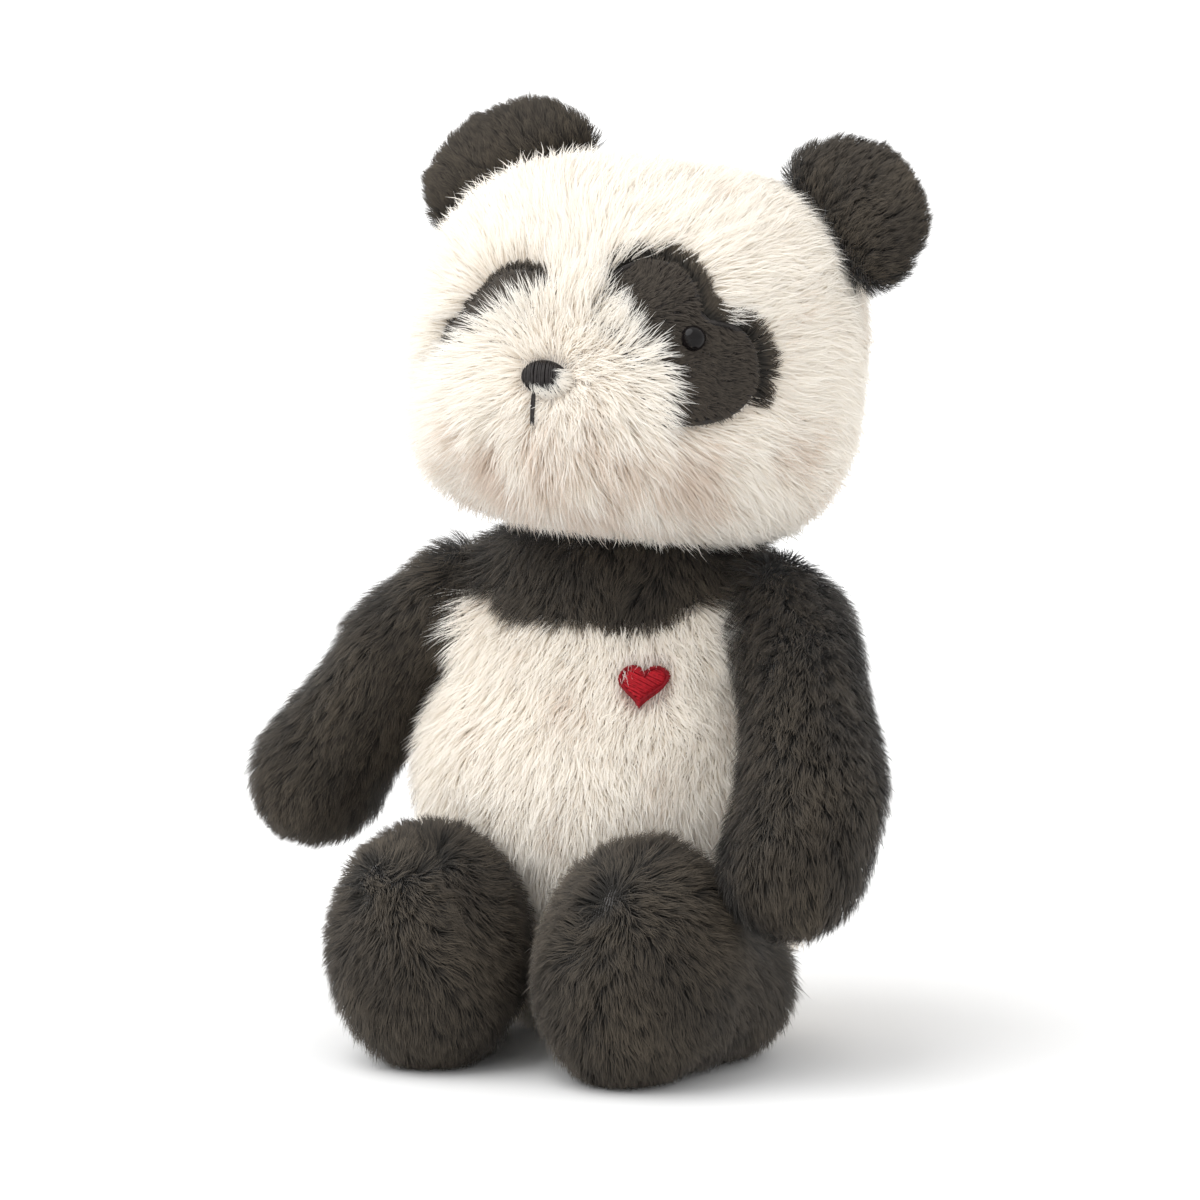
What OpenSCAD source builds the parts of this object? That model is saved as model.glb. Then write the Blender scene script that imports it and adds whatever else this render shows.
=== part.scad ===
// Seated plush panda: fabric panels over stuffed bodies, with soft neck, ear, shoulder and hip joints.
// Frame: the panda faces -Y, its left side is +X, +Z is up, and the origin is the middle of the seat.

/* [Fabric] */
// Thickness of the backing cloth with its short pile
skin_t = 1.6; // [1:0.1:2.4]
// Gap between a panel and the fibre filling behind it
fill_gap = 0.4; // [0.2:0.1:1]
// Gap between two bodies that move against each other
joint_gap = 1; // [0.8:0.1:1.5]

/* [Torso] */
// Widest width of the torso
torso_w = 118; // [112:1:120]
// Deepest depth of the torso
torso_d = 97; // [92:1:100]
// Height at which the dark yoke starts
yoke_z = 119; // [112:1:122]
// Height of the middle of the neck, on which the head turns
neck_z = 118; // [114:1:122]
// Radius of the round neck under the head
neck_r = 34; // [30:0.5:36]
// Radius of the ball of filling in the neck
neck_ball_r = 22; // [16:1:24]
// Radius of the pouch of plastic pellets in the seat
pouch_r = 17; // [12:1:18]
// Height of that pouch
pouch_h = 16; // [10:1:20]

/* [Head] */
// Width of the head between the cheeks
head_w = 117; // [112:1:120]
// Depth of the head without the muzzle
head_d = 96; // [92:1:102]
// Height of the head
head_h = 100; // [96:1:104]
// Height of the middle of the head
head_z = 191; // [189:1:194]
// How far the muzzle stands out from the face
muzzle_out = 21; // [12:1:24]
// Angle over which the muzzle fades into the face
muzzle_spread = 32; // [24:1:36]
// Angle by which the head is tipped back
head_lift = 0; // [-4:1:4]
// Angle by which the head leans towards its left
head_roll = 6; // [0:1:8]
// Angle by which the head is turned
head_turn = -1; // [-8:1:8]
// Diameter of a safety eye
eye_d = 7; // [5:0.5:9]
// Width of the embroidered nose
nose_w = 13; // [9:0.5:16]
// Width of a heart-shaped eye patch
eye_patch_w = 56; // [44:1:57]

/* [Ears] */
// Width of an ear
ear_w = 51; // [44:1:54]
// Height of an ear above its fold line
ear_h = 21; // [18:1:28]
// Thickness of a stuffed ear
ear_t = 13; // [11:1:16]

/* [Arms] */
// Distance of a shoulder from the middle plane
shoulder_x = 52; // [51:1:55]
// Height of a shoulder
shoulder_z = 119; // [115:1:121]
// Radius of an arm at the shoulder
shoulder_r = 17.5; // [15:0.5:18]
// Radius of an arm half way along
arm_r = 18.5; // [16:0.5:19]
// Radius of an arm at the paw
paw_r = 17.5; // [15:0.5:18]

/* [Legs] */
// Distance of a hip from the middle plane
hip_x = 40; // [39:1:42]
// Height of a hip
hip_z = 21; // [20:1:23]
// Radius of a leg at the hip
hip_r = 19; // [17:0.5:19.5]
// Distance of the middle of a foot from the middle plane
foot_x = 31; // [29:1:34]
// Width of a foot
foot_w = 51; // [46:1:54]
// Height of a foot
foot_h = 65; // [58:1:68]
// Depth of a foot
foot_d = 51; // [46:1:54]

/* [Heart] */
// Width of the embroidered heart on the chest
heart_w = 12.5; // [10:0.5:16]

/* [Hidden] */

CREAM = [0.93, 0.89, 0.83];
DARK = [0.22, 0.19, 0.17];
FIBRE = [0.97, 0.97, 0.95];
BLACK = [0.06, 0.05, 0.05];
RED = [0.62, 0.07, 0.11];
FRONT = [-180, 0];
BACK = [0, 180];
fill_t = skin_t + fill_gap;
// Thickness of embroidery and of the felt of a patch.
thread_t = 1.4;
seat_t = 2;
// Extra radius of a hollow, because its flat facets cut across its round wall.
facet_sag = 0.8;

// Rows of the torso, from the seat to the crown of the neck: height, half width and half depth.
neck = [0, 0, neck_z];
torso_shape = [[seat_t, 0.44], [8, 0.52], [20, 0.60], [38, 0.77], [58, 0.94], [74, 0.98], [90, 0.90],
               [104, 0.77], [117, 0.66], [129, 0.56]];
torso_rows = concat(
    [for (row = torso_shape) [row[0], torso_w / 2 * row[1], torso_d / 2 * row[1]]],
    [for (a = [50, 38, 25, 14, 5]) [neck_z + neck_r * cos(a), neck_r * sin(a), neck_r * sin(a)]]);
torso_end = len(torso_rows) - 1;

// Lines inside the arms: the left paw rests forward beside the leg, the right arm hangs to the side.
left_shoulder = [shoulder_x, -4, shoulder_z];
right_shoulder = [-shoulder_x, -4, shoulder_z];
left_arm_line = [left_shoulder, [78, -32, 96], [71.5, -53.5, 60]];
right_arm_line = [right_shoulder, [-74, -5, 107], [-91, -8, 67]];
arm_radii = [[shoulder_r, shoulder_r], [arm_r, arm_r], [paw_r, paw_r]];

left_hip = [hip_x, -28, hip_z];
foot = [foot_x, -62, foot_h / 2 - 1];
leg_line = [left_hip, (left_hip + foot) / 2 + [4, 0, -2], foot];
leg_radii = [[hip_r, hip_r], [hip_r + 1, hip_r + 3], [foot_w / 2, foot_h / 2]];

head = [0, 0, head_z];
// Powers of the head's outline seen from the front, and of its roundness from front to back.
outline_power = 3.1;
depth_power = 2.2;
muzzle_aim = unit([0, -1, -0.16]);
nose_aim = unit([0, -1, -0.02]);
mouth_aim = unit([0, -1, -0.19]);
eye_aim = unit([0.56, -0.82, 0.19]);
patch_aim = unit([0.52, -0.84, 0.11]);
patch_tilt = 39;
heart_x = 20;
heart_z = 101;

ear_r = ear_t / 2;
ear_core = ear_w / 2 - ear_r;
ear_aim = unit([0.76, 0.14, 0.63]);
ear_lean = unit([0.62, 0.34, 0.70]);

// ---- Vectors and curves ----

function unit(v) = v / norm(v);
function steps(from, to, n) = [for (i = [0 : n]) from + (to - from) * i / n];
function flat_list(lists) = [for (l = lists) each l];
function across(v, w) = unit(v - w * (v * w));

// A smooth curve through the rows of a table, at t from 0 to the number of the last row.
function curve(rows, t) =
    let (last = len(rows) - 1, i = min(max(floor(t), 0), last - 1), f = t - i,
         a = rows[max(i - 1, 0)], b = rows[i], c = rows[i + 1], d = rows[min(i + 2, last)])
    0.5 * (2 * b + f * (c - a) + f * f * (2 * a - 5 * b + 4 * c - d) + f * f * f * (3 * b - 3 * c + d - a));

// A point pushed out of a ball, so that what turns inside the ball stays clear of it.
function clear_of(p, middle, r) = norm(p - middle) >= r ? p : middle + unit(p - middle) * r;

// The point at a depth under the surface f, along its normal.
function under(f, u, v, depth) =
    let (du = 1, dv = 0.01)
    f(u, v) - depth * unit(cross(f(u + du, v) - f(u - du, v), f(u, v + dv) - f(u, v - dv)));

// Outline of a heart 1 wide, anticlockwise from its notch, with its middle at the origin.
function heart(t) =
    [-16 * pow(sin(t), 3), 13 * cos(t) - 5 * cos(2 * t) - 2 * cos(3 * t) - cos(4 * t) + 2.5] / 32;
function turned(p, angle) = [p[0] * cos(angle) - p[1] * sin(angle), p[0] * sin(angle) + p[1] * cos(angle)];

// ---- Solids from grids of points ----

// A closed solid through a list of rings, with both ends closed.
module lofted(rings) {
    n = len(rings[0]);
    last = len(rings) - 1;
    side = [for (j = [0 : last - 1], i = [0 : n - 1])
        let (a = j * n + i, b = j * n + (i + 1) % n) each [[a, a + n, b + n], [a, b + n, b]]];
    start = len(rings) * n;
    bottom = [for (i = [0 : n - 1]) [start, i, (i + 1) % n]];
    top = [for (i = [0 : n - 1]) [start + 1, last * n + (i + 1) % n, last * n + i]];
    points = concat(flat_list(rings), [mean(rings[0]), mean(rings[last])]);
    polyhedron(points, concat(side, bottom, top), convexity = 6);
}
function mean(points) = [for (p = points) 1] * points / len(points);

// A sewn panel: the part of the surface f over us and vs, skin_t thick.
module panel(f, us, vs) {
    n = len(us);
    m = len(vs);
    outer = [for (v = vs, u = us) f(u, v)];
    inner = [for (v = vs, u = us) under(f, u, v, skin_t)];
    k = n * m;
    skin = [for (j = [0 : m - 2], i = [0 : n - 2])
        let (a = j * n + i, b = a + 1)
        each [[a, a + n, b + n], [a, b + n, b], [k + a, k + b + n, k + a + n], [k + a, k + b, k + b + n]]];
    rim = concat([for (i = [0 : n - 2]) [i, i + 1]],
                 [for (j = [0 : m - 2]) [(j + 1) * n - 1, (j + 2) * n - 1]],
                 [for (i = [n - 1 : -1 : 1]) [(m - 1) * n + i, (m - 1) * n + i - 1]],
                 [for (j = [m - 1 : -1 : 1]) [j * n, (j - 1) * n]]);
    // Neighbouring panels cut the strip between them along the same diagonals.
    edge = [for (e = rim) each e[0] < e[1]
        ? [[e[0], e[1], k + e[1]], [e[0], k + e[1], k + e[0]]]
        : [[e[0], e[1], k + e[0]], [e[1], k + e[1], k + e[0]]]];
    polyhedron(concat(outer, inner), concat(skin, edge), convexity = 10);
}

// Filling inside the surface f, clear of the panels by fill_gap.
module filling(f, n, vs, depth = fill_t) {
    lofted([for (v = vs) [for (i = [0 : n - 1]) under(f, i * 360 / n, v, depth)]]);
}

// An embroidered pad: at(x, y, lift) lays a point on the surface, outline(t) is the edge.
module pad(at, outline, n, low, high) {
    ring = function (share, lift) [for (i = [0 : n - 1])
        let (p = outline(i * 360 / n) * share) at(p[0], p[1], lift)];
    under_side = [for (share = [0.12, 0.5, 0.8, 0.97]) ring(share, low)];
    upper_side = [for (share = [0.95, 0.8, 0.5, 0.12]) ring(share, high)];
    lofted(concat(under_side, [ring(1, (low + high) / 2)], upper_side));
}

module mirrored_copy() {
    mirror([1, 0, 0]) children();
}

// ---- Torso ----

// Radii of the dimples in which the arms and the legs turn.
arm_room = shoulder_r + joint_gap + facet_sag;
leg_room = hip_r + 6;

// Skin of the torso: u is the azimuth from +X, v the row of torso_rows.
torso_at = function (u, v)
    let (row = curve(torso_rows, v), p = [row[1] * cos(u), row[2] * sin(u), row[0]],
         right_hip = [-left_hip[0], left_hip[1], left_hip[2]],
         q = clear_of(clear_of(p, left_shoulder, arm_room), right_shoulder, arm_room))
    clear_of(clear_of(q, left_hip, leg_room), right_hip, leg_room);

// The row at a height, by halving.
function row_at(z, low = 0, high = torso_end, n = 20) =
    n == 0 ? low
    : let (middle = (low + high) / 2)
      curve(torso_rows, middle)[0] < z ? row_at(z, middle, high, n - 1) : row_at(z, low, middle, n - 1);

// A point lifted off the front of the torso at a width and a height.
function on_torso(x, z, lift) =
    let (v = row_at(z), row = curve(torso_rows, v), u = -acos(x / row[1]))
    under(torso_at, u, v, -lift);

yoke_v = row_at(yoke_z);
body_vs = concat([0], steps(0.5, yoke_v, 13));
yoke_vs = steps(yoke_v, torso_end, 8);

module torso_panel(range, vs, tint) {
    color(tint) panel(torso_at, steps(range[0], range[1], 22), vs);
}

module base_panel() {
    row = torso_rows[0];
    color(CREAM) linear_extrude(seat_t)
        polygon([for (a = [0 : 7.5 : 352.5]) [row[1] * cos(a), row[2] * sin(a)]]);
}
module belly_panel() { torso_panel(FRONT, body_vs, CREAM); }
module back_panel() { torso_panel(BACK, body_vs, CREAM); }
module yoke_front_panel() { torso_panel(FRONT, yoke_vs, DARK); }
module yoke_back_panel() { torso_panel(BACK, yoke_vs, DARK); }

// The filling stands on the pellet pouch and has a bowl at its top for the ball in the neck.
module torso_stuffing() {
    n = 44;
    top_v = row_at(neck_z - 6);
    body = [for (v = [for (v = body_vs) if (v > 0 && v < top_v) v])
        [for (i = [0 : n - 1]) under(torso_at, i * 360 / n, v, fill_t)]];
    bowl_r = neck_ball_r + joint_gap;
    bowl = [for (a = [15 : 14 : 85])
        [for (i = [0 : n - 1])
            let (u = i * 360 / n) neck + bowl_r * [cos(a) * cos(u), cos(a) * sin(u), -sin(a)]]];
    color(FIBRE) difference() {
        lofted(concat(body, bowl));
        translate([0, 0, -1])
            cylinder(r = pouch_r + fill_gap, h = 1 + seat_t + 2 * fill_gap + pouch_h, $fn = 60);
    }
}

module pellet_pouch() {
    round_r = pouch_h * 0.4;
    color(CREAM) translate([0, 0, seat_t + fill_gap]) rotate_extrude($fn = 60) {
        square([pouch_r - round_r, pouch_h]);
        translate([0, round_r]) square([pouch_r, pouch_h - 2 * round_r]);
        translate([pouch_r - round_r, round_r]) circle(round_r, $fn = 40);
        translate([pouch_r - round_r, pouch_h - round_r]) circle(round_r, $fn = 40);
    }
}

module chest_heart() {
    color(RED) pad(function (x, y, lift) on_torso(heart_x + x, heart_z + y, lift),
                   function (t) heart(t) * heart_w, 22, 0.3, 0.3 + thread_t);
}

module neck_stuffing() {
    color(FIBRE) translate(neck) sphere(neck_ball_r, $fn = 60);
}

// ---- Head, modelled upright and then set at its angle on the neck ----

// Distance from the middle of the head to its skin in a direction.
function head_reach(d) =
    let (outline = pow(abs(d[0]) / (head_w / 2), outline_power)
                   + pow(abs(d[2]) / (head_h / 2), outline_power),
         sum = pow(outline, depth_power / outline_power) + pow(abs(d[1]) / (head_d / 2), depth_power),
         off = acos(min(1, d * muzzle_aim)) / muzzle_spread)
    pow(sum, -1 / depth_power) + muzzle_out * exp(-off * off);

// Skin of the head: u is the azimuth from +X, v the elevation in quarter turns.
head_at = function (u, v)
    let (d = [cos(90 * v) * cos(u), cos(90 * v) * sin(u), sin(90 * v)])
    clear_of(head + d * head_reach(d), neck, neck_r + joint_gap);

// A point lifted off the face, x to the side and y up from where aim meets the skin.
function on_head(aim, x, y, lift) =
    let (side = unit(cross([0, 0, 1], aim)), up = cross(aim, side),
         d = unit(aim * head_reach(aim) + side * x + up * y))
    head + d * (head_reach(d) + lift);

function head_normal(aim) =
    unit(cross(on_head(aim, 1, 0, 0) - on_head(aim, -1, 0, 0),
               on_head(aim, 0, 1, 0) - on_head(aim, 0, -1, 0)));

module head_placed() {
    translate(neck) rotate([head_lift, head_roll, head_turn]) translate(-neck) children();
}
head_vs = steps(-0.94, 0.98, 16);
module gore(from, to) {
    color(CREAM) head_placed() panel(head_at, steps(from, to, 9), head_vs);
}
module face_left_panel() { gore(-90, 0); }
module face_right_panel() { gore(-180, -90); }
module head_back_left_panel() { gore(0, 90); }
module head_back_right_panel() { gore(90, 180); }
module head_stuffing() {
    color(FIBRE) head_placed() filling(head_at, 36, head_vs);
}

patch_lift = 0.7;
module eye_patch() {
    color(DARK) pad(function (x, y, lift) on_head(patch_aim, x, y, lift),
                    function (t) turned(heart(t), -patch_tilt) * eye_patch_w,
                    36, patch_lift, patch_lift + thread_t);
}
module eye_patch_left() { head_placed() eye_patch(); }
module eye_patch_right() { head_placed() mirrored_copy() eye_patch(); }

// Things that lie on the face, turned so that their +Z leaves the skin.
module at_eye() {
    n = head_normal(eye_aim);
    translate(on_head(eye_aim, 0, 0, 0)) rotate([0, acos(n[2]), atan2(n[1], n[0])]) children();
}
eye_lift = patch_lift + thread_t;
eye_stem = 7;
module eye() {
    color(BLACK) at_eye() {
        translate([0, 0, eye_lift - 0.3]) intersection() {
            scale(eye_d / 2) sphere(1, $fn = 48);
            cylinder(r = eye_d, h = eye_d);
        }
        translate([0, 0, eye_lift - eye_stem]) cylinder(r = eye_d * 0.18, h = eye_stem, $fn = 24);
    }
}
module eye_washer() {
    color(FIBRE) at_eye() translate([0, 0, -skin_t - 1.4]) difference() {
        cylinder(r = eye_d * 0.75, h = 1, $fn = 36);
        translate([0, 0, -1]) cylinder(r = eye_d * 0.18 + 0.05, h = 3, $fn = 24);
    }
}
module eye_left() { head_placed() eye(); }
module eye_right() { head_placed() mirrored_copy() eye(); }
module eye_washer_left() { head_placed() eye_washer(); }
module eye_washer_right() { head_placed() mirrored_copy() eye_washer(); }

module nose() {
    color(BLACK) head_placed() pad(function (x, y, lift) on_head(nose_aim, x, y, lift),
        function (t) [-sin(t) * nose_w / 2, cos(t) * nose_w * 0.36], 24, 0.35, 0.35 + thread_t);
}
module mouth_stitch() {
    color(BLACK) head_placed() pad(function (x, y, lift) on_head(mouth_aim, x, y, lift),
        function (t) [-sin(t) * 0.8, cos(t) * 4.5], 12, 0.35, 1.2);
}

// ---- Ears: a half disc on a rounded fold line, built on the left ----

ear_along = across([0.76, -0.36, -0.52], head_normal(ear_aim));
ear_up = across(ear_lean, ear_along);
ear_root = on_head(ear_aim, 0, 0, 0) + head_normal(ear_aim) * (ear_r + joint_gap);

// u goes round the ear, v from its rounded root (0 to 1) to its rim (3).
ear_at = function (u, v)
    let (a = v < 1 ? 90 * (v - 1) : 45 * (v - 1),
         long = v < 1 ? ear_core + ear_r * cos(a) : ear_w / 2 * pow(cos(a), 0.9),
         thick = v < 1 ? ear_r * cos(a) : ear_r * pow(cos(a), 0.75),
         high = v < 1 ? ear_r * sin(a) : ear_h * sin(a),
         face = cross(ear_along, ear_up))
    ear_root + ear_along * long * cos(u) - face * thick * sin(u) + ear_up * high;
ear_vs = concat([0.12, 0.45, 0.75, 1], steps(1.3, 2.88, 5));

module ear_panel(range) { color(DARK) panel(ear_at, steps(range[0], range[1], 8), ear_vs); }
module ear_filling() { color(FIBRE) filling(ear_at, 16, concat([0.45, 0.75, 1], steps(1.3, 2.5, 4))); }
module ear_front_left() { head_placed() ear_panel(FRONT); }
module ear_back_left() { head_placed() ear_panel(BACK); }
module ear_stuffing_left() { head_placed() ear_filling(); }
module ear_front_right() { head_placed() mirrored_copy() ear_panel(FRONT); }
module ear_back_right() { head_placed() mirrored_copy() ear_panel(BACK); }
module ear_stuffing_right() { head_placed() mirrored_copy() ear_filling(); }

// ---- Limbs: a round tube along a bent line, with a ball at its root ----

function line_at(line, t) = (1 - t) * (1 - t) * line[0] + 2 * t * (1 - t) * line[1] + t * t * line[2];

// u goes round, v is 0 at the root's crown, 1 and 3 at the ends of the line, and 4 at the tip's crown.
function limb_point(line, radii, tip, level, u, v) =
    let (t = min(max((v - 1) / 2, 0), 1), middle = line_at(line, t),
         ahead = unit(line_at(line, t + 0.01) - line_at(line, t - 0.01)),
         side = unit(cross(ahead, level)), front = cross(ahead, side),
         r = curve(radii, t * (len(radii) - 1)),
         round = side * r[0] * cos(u) + front * r[1] * sin(u))
    v < 1 ? middle + round * sin(90 * v) - ahead * r[0] * cos(90 * v)
    : v > 3 ? middle + round * cos(90 * (v - 3)) + ahead * tip * sin(90 * (v - 3))
    : middle + round;

left_arm_at = function (u, v) limb_point(left_arm_line, arm_radii, paw_r, [0, 1, 0], u, v);
right_arm_at = function (u, v) limb_point(right_arm_line, arm_radii, paw_r, [0, 1, 0], u, v);
// The sole of a foot is flat where it meets the ground.
leg_at = function (u, v)
    let (p = limb_point(leg_line, leg_radii, foot_d / 2, [0, 0, 1], u, v)) [p[0], p[1], max(p[2], 0)];

limb_vs = concat([0.04], steps(0.3, 3.7, 11), [3.95]);
module limb_panel(f, from) { color(DARK) panel(f, steps(from, from + 180, 9), limb_vs); }
// The filling has a hollow for the ball of filling at the root, which turns inside it.
module limb_filling(f, root, ball_r) {
    n = 18;
    rim_v = 1.2;
    hollow_r = ball_r + joint_gap;
    rim = [for (i = [0 : n - 1]) under(f, i * 360 / n, rim_v, fill_t)];
    middle = mean(rim);
    hollow = [for (share = [0.04, 0.13, 0.25, 0.42, 0.65]) [for (p = rim) middle + (p - middle) * share]];
    body = [for (v = concat([rim_v], [for (v = limb_vs) if (v > 1.3) v]))
        [for (i = [0 : n - 1]) under(f, i * 360 / n, v, fill_t)]];
    color(FIBRE) lofted([for (ring = concat(hollow, body)) [for (p = ring) clear_of(p, root, hollow_r)]]);
}
module root_ball(at, r) { color(FIBRE) translate(at) sphere(r, $fn = 48); }

arm_ball_r = shoulder_r - fill_t - 2;
leg_ball_r = hip_r - fill_t - 2;

module shoulder_stuffing_left() { root_ball(left_shoulder, arm_ball_r); }
module arm_outer_left() { limb_panel(left_arm_at, -90); }
module arm_inner_left() { limb_panel(left_arm_at, 90); }
module arm_stuffing_left() { limb_filling(left_arm_at, left_shoulder, arm_ball_r); }
module shoulder_stuffing_right() { root_ball(right_shoulder, arm_ball_r); }
module arm_outer_right() { limb_panel(right_arm_at, 90); }
module arm_inner_right() { limb_panel(right_arm_at, -90); }
module arm_stuffing_right() { limb_filling(right_arm_at, right_shoulder, arm_ball_r); }
module hip_stuffing_left() { root_ball(left_hip, leg_ball_r); }
module leg_outer_left() { limb_panel(leg_at, 90); }
module leg_inner_left() { limb_panel(leg_at, -90); }
module leg_stuffing_left() { limb_filling(leg_at, left_hip, leg_ball_r); }
module hip_stuffing_right() { mirrored_copy() hip_stuffing_left(); }
module leg_outer_right() { mirrored_copy() leg_outer_left(); }
module leg_inner_right() { mirrored_copy() leg_inner_left(); }
module leg_stuffing_right() { mirrored_copy() leg_stuffing_left(); }

base_panel();
belly_panel();
back_panel();
yoke_front_panel();
yoke_back_panel();
torso_stuffing();
pellet_pouch();
chest_heart();
neck_stuffing();
face_left_panel();
face_right_panel();
head_back_left_panel();
head_back_right_panel();
head_stuffing();
eye_patch_left();
eye_patch_right();
eye_left();
eye_right();
eye_washer_left();
eye_washer_right();
nose();
mouth_stitch();
ear_front_left();
ear_back_left();
ear_stuffing_left();
ear_front_right();
ear_back_right();
ear_stuffing_right();
shoulder_stuffing_left();
arm_outer_left();
arm_inner_left();
arm_stuffing_left();
shoulder_stuffing_right();
arm_outer_right();
arm_inner_right();
arm_stuffing_right();
hip_stuffing_left();
leg_outer_left();
leg_inner_left();
leg_stuffing_left();
hip_stuffing_right();
leg_outer_right();
leg_inner_right();
leg_stuffing_right();
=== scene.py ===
import math

import bmesh
import bpy
import numpy as np
from mathutils import Euler, Matrix, Vector
from mathutils.bvhtree import BVHTree
from mathutils.kdtree import KDTree


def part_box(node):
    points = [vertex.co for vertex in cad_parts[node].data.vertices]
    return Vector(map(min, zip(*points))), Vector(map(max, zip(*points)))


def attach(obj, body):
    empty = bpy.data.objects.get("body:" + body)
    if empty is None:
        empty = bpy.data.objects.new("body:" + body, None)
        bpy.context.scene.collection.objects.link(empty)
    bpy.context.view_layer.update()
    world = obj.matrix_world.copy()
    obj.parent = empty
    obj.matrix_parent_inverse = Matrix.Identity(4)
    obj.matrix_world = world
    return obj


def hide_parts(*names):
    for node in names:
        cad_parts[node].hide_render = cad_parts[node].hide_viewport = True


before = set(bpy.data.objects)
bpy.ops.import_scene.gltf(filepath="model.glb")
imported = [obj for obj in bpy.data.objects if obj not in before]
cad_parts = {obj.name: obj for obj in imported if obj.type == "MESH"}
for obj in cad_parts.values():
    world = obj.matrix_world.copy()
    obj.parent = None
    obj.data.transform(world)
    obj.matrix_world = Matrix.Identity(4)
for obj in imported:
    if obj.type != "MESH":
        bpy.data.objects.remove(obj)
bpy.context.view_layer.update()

# ---- Driving dimensions, in metres and degrees, as in the part ----

MM = 0.001
SIDES = ("left", "right")
NECK = Vector((0, 0, 0.118))
HEAD_MIDDLE = Vector((0, 0, 0.191))
HEAD_ROLL = 6
HEAD_TURN = -1
NECK_R = 34 * MM
EYE_AIM = Vector((0.56, -0.82, 0.19))
PATCH_AIM = Vector((0.52, -0.84, 0.11))
PATCH_W = 62 * MM
PATCH_TILT = 41
FAR_NOTCH_FILL = 0.40
NEAR_PATCH_SHARE = 0.94
NEAR_PATCH_DRIFT = Vector((-0.125, 0, -0.050))
NEAR_NOTCH_FILL = 0.34
FAR_PATCH_DRIFT = Vector((-0.20, 0, -0.195))
FAR_EYE_DRIFT = Vector((-0.16, 0, -0.20))
PATCH_LIFT = 1.2 * MM
NOSE_AIM = Vector((-0.006, -1, -0.04))
MOUTH_AIM = Vector((-0.030, -1, -0.165))
NOSE_W = 13.2 * MM
NOSE_H = 9.0 * MM
HEART_W = 11.6 * MM
HEART_AT = (20.5 * MM, 101.3 * MM)
HEART_LIFT = 3.4 * MM
FLOOR_GAP = 0.5 * MM
SLOPE_START = 112 * MM
SLOPE = 0.34
NARROWING = 0.30
EAR_SINK = 3.5 * MM
SEAT_SPREAD = 0.26
SEAT_DEPTH = 1 * MM
SHOULDER_SPREAD = 0.20
YOKE_RISE = 9 * MM
YOKE_TOP = 141 * MM
FRINGE_LENGTH = {"left": 6.5 * MM, "right": 3.2 * MM}

# Colours are linear RGB.
CREAM_ROOT = (0.96, 0.91, 0.85)
CREAM_MIDDLE = (0.98, 0.945, 0.895)
CREAM_TIP = (0.99, 0.97, 0.94)
DARK_ROOT = (0.007, 0.006, 0.004)
DARK_MIDDLE = (0.011, 0.009, 0.007)
DARK_TIP = (0.060, 0.048, 0.036)
PATCH_ROOT = (0.014, 0.011, 0.009)
PATCH_MIDDLE = (0.029, 0.023, 0.018)
PATCH_TIP = (0.064, 0.052, 0.040)
FLECK_LOW = (0.95, 0.95, 0.94)
FLECK_HIGH = (1.03, 1.03, 1.02)
FLOOR_LOW = (0.80, 0.80, 0.798)
FLOOR_HIGH = (0.81, 0.81, 0.808)
CREAM_GLOW = 0.55

HEAD_TURNED = Euler((0, math.radians(HEAD_ROLL), math.radians(HEAD_TURN))).to_matrix()
head_middle = NECK + HEAD_TURNED @ (HEAD_MIDDLE - NECK)

# Strands drawn for each piece of pile, before those off its own part of the skin are left out.
HEAD_STRANDS = 39000
BELLY_STRANDS = 52000
YOKE_STRANDS = 80000
ARM_STRANDS = 22000
LEG_STRANDS = 28000
EAR_STRANDS = 9000
PATCH_STRANDS = 26000
FRINGE_STRANDS = 5200
NOSE_STRANDS = 320
STRAY_SHARE = 0.05
STRAY_LENGTH = 1.1
STRAY_RISE = 12
DARK_LOCKS = ((0.12, 0.45), (0.018, 0.24))
CREAM_PILE = {"wave": 0.9 * MM, "clump": ((0.10, 0.12), (0.02, 0.10)), "width": 0.31 * MM, "lift": 0.04}

SUN_FROM = (-0.8, -0.8, 1.5)
SUN_SPREAD = 60
SUN_STRENGTH = 2.0
WORLD_SEEN = 1.3
WORLD_LIT = 1.20
CAMERA_AZIMUTH = 23
CAMERA_ELEVATION = 7
CAMERA_DISTANCE = 1.3
CAMERA_FIELD = 0.336
CAMERA_SIDE = -6.2 * MM
CAMERA_HEIGHT = 121 * MM

rng = np.random.default_rng(11)


# ---- Materials ----

def new_material(name, roughness, sheen, specular):
    """A node material and its Principled shader, with its plain numbers set."""
    material = bpy.data.materials.new(name)
    material.use_nodes = True
    shader = material.node_tree.nodes["Principled BSDF"]
    shader.inputs["Roughness"].default_value = roughness
    shader.inputs["Specular IOR Level"].default_value = specular
    shader.inputs["Sheen Weight"].default_value = sheen
    shader.inputs["Sheen Roughness"].default_value = 0.5
    return material, material.node_tree, shader


def ramp_node(tree, stops, factor):
    """A colour ramp through (place, colour) stops, driven by a factor socket."""
    node = tree.nodes.new("ShaderNodeValToRGB")
    elements = node.color_ramp.elements
    for i, (place, colour) in enumerate(stops):
        element = elements[i] if i < 2 else elements.new(place)
        element.position = place
        element.color = (*colour, 1)
    tree.links.new(factor, node.inputs["Fac"])
    return node.outputs["Color"]


def noise_node(tree, scale, detail=2.0, distortion=0.0, source=None):
    """Fine noise over the object's own coordinates, or over another source socket."""
    node = tree.nodes.new("ShaderNodeTexNoise")
    node.inputs["Scale"].default_value = scale
    node.inputs["Detail"].default_value = detail
    node.inputs["Distortion"].default_value = distortion
    if source is None:
        source = tree.nodes.new("ShaderNodeTexCoord").outputs["Object"]
    tree.links.new(source, node.inputs["Vector"])
    return node.outputs["Fac"]


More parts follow.
